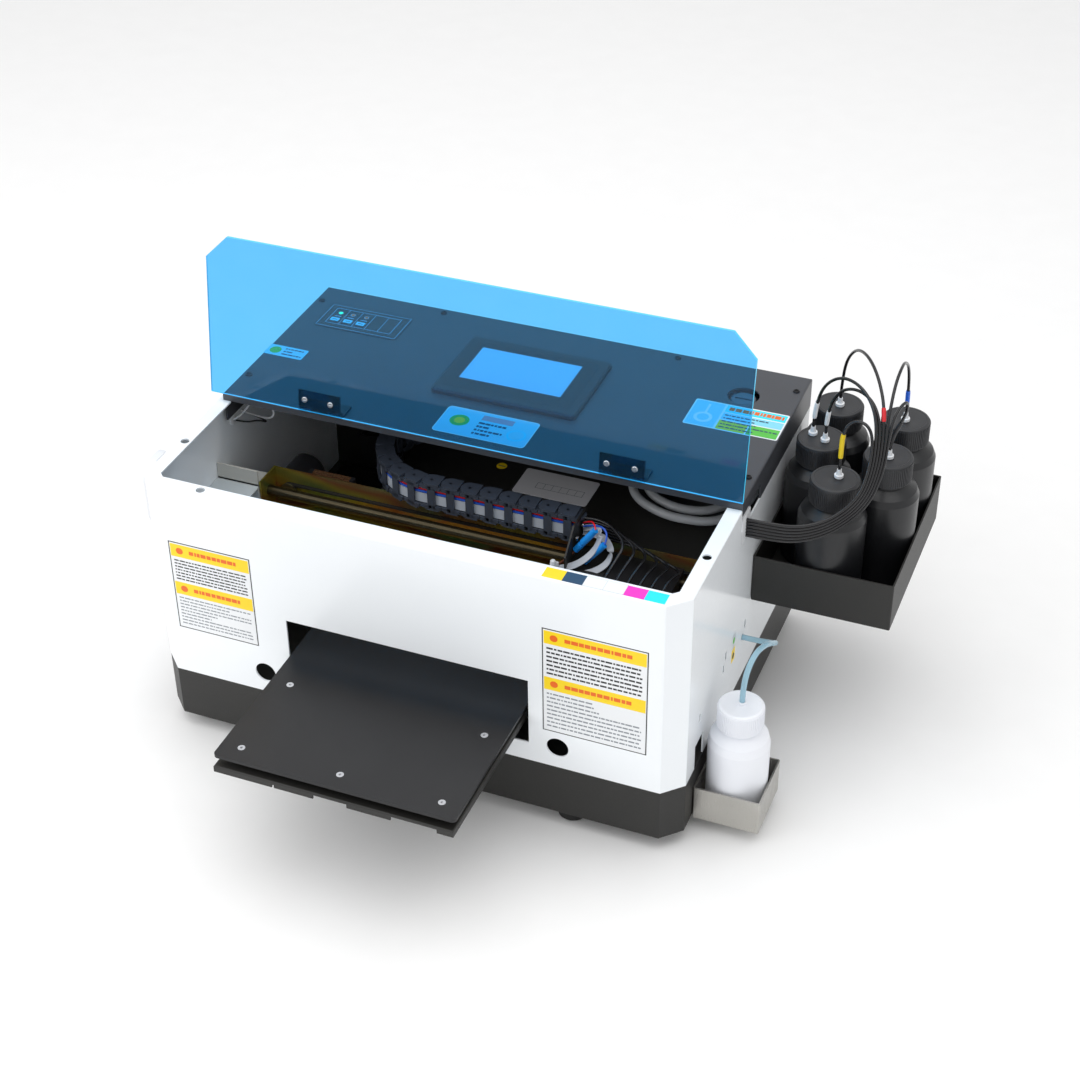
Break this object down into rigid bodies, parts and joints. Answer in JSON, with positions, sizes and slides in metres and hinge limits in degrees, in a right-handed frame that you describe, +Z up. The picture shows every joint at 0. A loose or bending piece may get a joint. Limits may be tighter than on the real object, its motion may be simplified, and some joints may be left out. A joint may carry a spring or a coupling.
{
  "type": "flatbed uv printer",
  "caption": "Desktop flatbed UV printer: sheet-metal cabinet with tilt-up window, sliding lifting platen, belt-driven print carriage, and side-mounted ink and waste bottles.",
  "frame": {"origin": "under the middle of the whole outline, on the floor", "axes": "+X to the printer's right as seen from the front, +Y to its back, +Z up"},
  "size_m": [0.6344, 0.52, 0.4278],
  "materials": {
    "black_powder": "matte fine powder coat",
    "white_powder": "gloss powder coat",
    "black_rubber": "matte",
    "dark_chrome": "bright",
    "grey_film": "satin printed film",
    "grey_keys": "satin",
    "screen_black": "gloss",
    "grey_plastic": "satin",
    "blue_acrylic": "polished transparent",
    "hinge_black": "satin",
    "bright_screws": "bright",
    "tank_plastic": "translucent",
    "cap_grey": "satin",
    "clear_hose": "clear soft",
    "black_anodised": "matte anodised",
    "sled_metal": "milled",
    "ground_steel": "ground",
    "motor_black": "satin black",
    "yellow_zinc": "iridescent plating",
    "pulley_metal": "machined",
    "black_plastic": "satin",
    "head_metal": "satin",
    "lamp_metal": "satin",
    "clear_tube": "black glossy",
    "white_plastic": "satin",
    "chain_plastic": "satin",
    "bottle_plastic": "satin black",
    "blue_tube": "translucent",
    "brushed_tray": "brushed"
  },
  "bodies": {
    "cabinet": {"base_box": "black_powder", "rubber_feet": "black_rubber", "outer_shell": "white_powder", "rear_panel": "black_powder", "deck_cover": "black_powder", "deck_screws": "dark_chrome", "keypad_overlay": "grey_film", "touch_screen": "screen_black", "side_cover": "grey_plastic", "hinge_lower_leaves": "hinge_black", "water_tank": "tank_plastic", "cooling_hoses": "clear_hose", "platen_rails": "ground_steel", "platen_motor": "motor_black", "guide_frame": "yellow_zinc", "guide_rod": "ground_steel", "carriage_motor": "motor_black", "carriage_belt": "black_rubber", "cap_station": "black_plastic", "left_bracket": "white_plastic", "chain_fixed_run": "chain_plastic", "inner_shelf": "black_powder", "power_supply": "lamp_metal", "power_inlet": "black_plastic", "ink_bottles": "bottle_plastic", "ink_caps": "black_plastic", "tube_fittings": "white_plastic", "ink_tray": "black_powder", "ink_tube_yellow": "clear_tube", "ink_tube_white_a": "clear_tube", "ink_tube_white_b": "clear_tube", "ink_tube_magenta": "clear_tube", "ink_tube_cyan": "clear_tube", "ink_tube_black": "clear_tube", "waste_bottle": "white_plastic", "waste_cap": "white_plastic", "waste_tube": "blue_tube", "waste_tray": "brushed_tray"},
    "window": {"window_panel": "blue_acrylic", "hinge_upper_leaves": "hinge_black", "window_screws": "bright_screws"},
    "sled": {"platen_sled": "sled_metal"},
    "platen": {"platen_plate": "black_anodised", "platen_bolts": "dark_chrome", "platen_tray": "black_powder"},
    "leadscrew": {"platen_leadscrew": "ground_steel"},
    "carriage": {"carriage_body": "black_plastic", "print_head": "head_metal", "uv_lamp": "lamp_metal", "chain_bracket": "black_powder", "carriage_tubes": "clear_tube", "chain_moving_run": "chain_plastic"},
    "chain_loop": {"chain_bend": "chain_plastic"},
    "drive": {"drive_pulley": "pulley_metal"},
    "idler": {"idler_pulley": "pulley_metal"},
    "filler": {"filler_cap": "cap_grey"},
    "rocker": {"power_rocker": "black_plastic"},
    "key_1": {"keypad_key_1": "grey_keys"},
    "key_2": {"keypad_key_2": "grey_keys"},
    "key_3": {"keypad_key_3": "grey_keys"}
  },
  "joints": [
    {"name": "window_hinge", "type": "hinge", "parent": "cabinet", "child": "window", "pos_m": [-0.0591, 0.0335, 0.2769], "axis": [1, 0, 0], "range_deg": [0, 99.2]},
    {"name": "platen_slide", "type": "slide", "parent": "cabinet", "child": "sled", "axis": [0, 1, 0], "range_m": [0, 0.155]},
    {"name": "platen_lift", "type": "slide", "parent": "sled", "child": "platen", "axis": [0, 0, 1], "range_m": [-0.015, 0.03]},
    {"name": "leadscrew_spin", "type": "hinge", "parent": "cabinet", "child": "leadscrew", "pos_m": [-0.0591, -0.113, 0.0375], "axis": [0, 1, 0], "range_deg": [0, 6980]},
    {"name": "carriage_slide", "type": "slide", "parent": "cabinet", "child": "carriage", "axis": [-1, 0, 0], "range_m": [0, 0.25], "deforming": ["chain_moving_run"]},
    {"name": "chain_bend_slide", "type": "slide", "parent": "cabinet", "child": "chain_loop", "axis": [-1, 0, 0], "range_m": [0, 0.125], "deforming": ["chain_fixed_run"]},
    {"name": "drive_pulley_spin", "type": "hinge", "parent": "cabinet", "child": "drive", "pos_m": [-0.2471, -0.113, 0.176], "axis": [0, 1, 0], "range_deg": [-2035, 0]},
    {"name": "idler_pulley_spin", "type": "hinge", "parent": "cabinet", "child": "idler", "pos_m": [0.1629, -0.113, 0.176], "axis": [0, 1, 0], "range_deg": [-2035, 0]},
    {"name": "filler_cap_turn", "type": "hinge", "parent": "cabinet", "child": "filler", "pos_m": [0.1409, 0.199, 0], "axis": [0, 0, 1], "range_deg": [0, 90]},
    {"name": "power_rocker_tip", "type": "hinge", "parent": "cabinet", "child": "rocker", "pos_m": [-0.2381, 0.25, 0.105], "axis": [1, 0, 0], "range_deg": [-14, 0]},
    {"name": "keypad_key_1_press", "type": "slide", "parent": "cabinet", "child": "key_1", "axis": [0, 0, -1], "range_m": [0, 0.0004], "stiffness_N_per_m": 600},
    {"name": "keypad_key_2_press", "type": "slide", "parent": "cabinet", "child": "key_2", "axis": [0, 0, -1], "range_m": [0, 0.0004], "stiffness_N_per_m": 600},
    {"name": "keypad_key_3_press", "type": "slide", "parent": "cabinet", "child": "key_3", "axis": [0, 0, -1], "range_m": [0, 0.0004], "stiffness_N_per_m": 600}
  ],
  "couplings": [
    {"joint": "leadscrew_spin", "follows": "platen_slide", "rad_per_m": 785.4},
    {"joint": "chain_bend_slide", "follows": "carriage_slide", "ratio": 0.5},
    {"joint": "drive_pulley_spin", "follows": "carriage_slide", "rad_per_m": -141.84},
    {"joint": "idler_pulley_spin", "follows": "carriage_slide", "rad_per_m": -141.84}
  ]
}
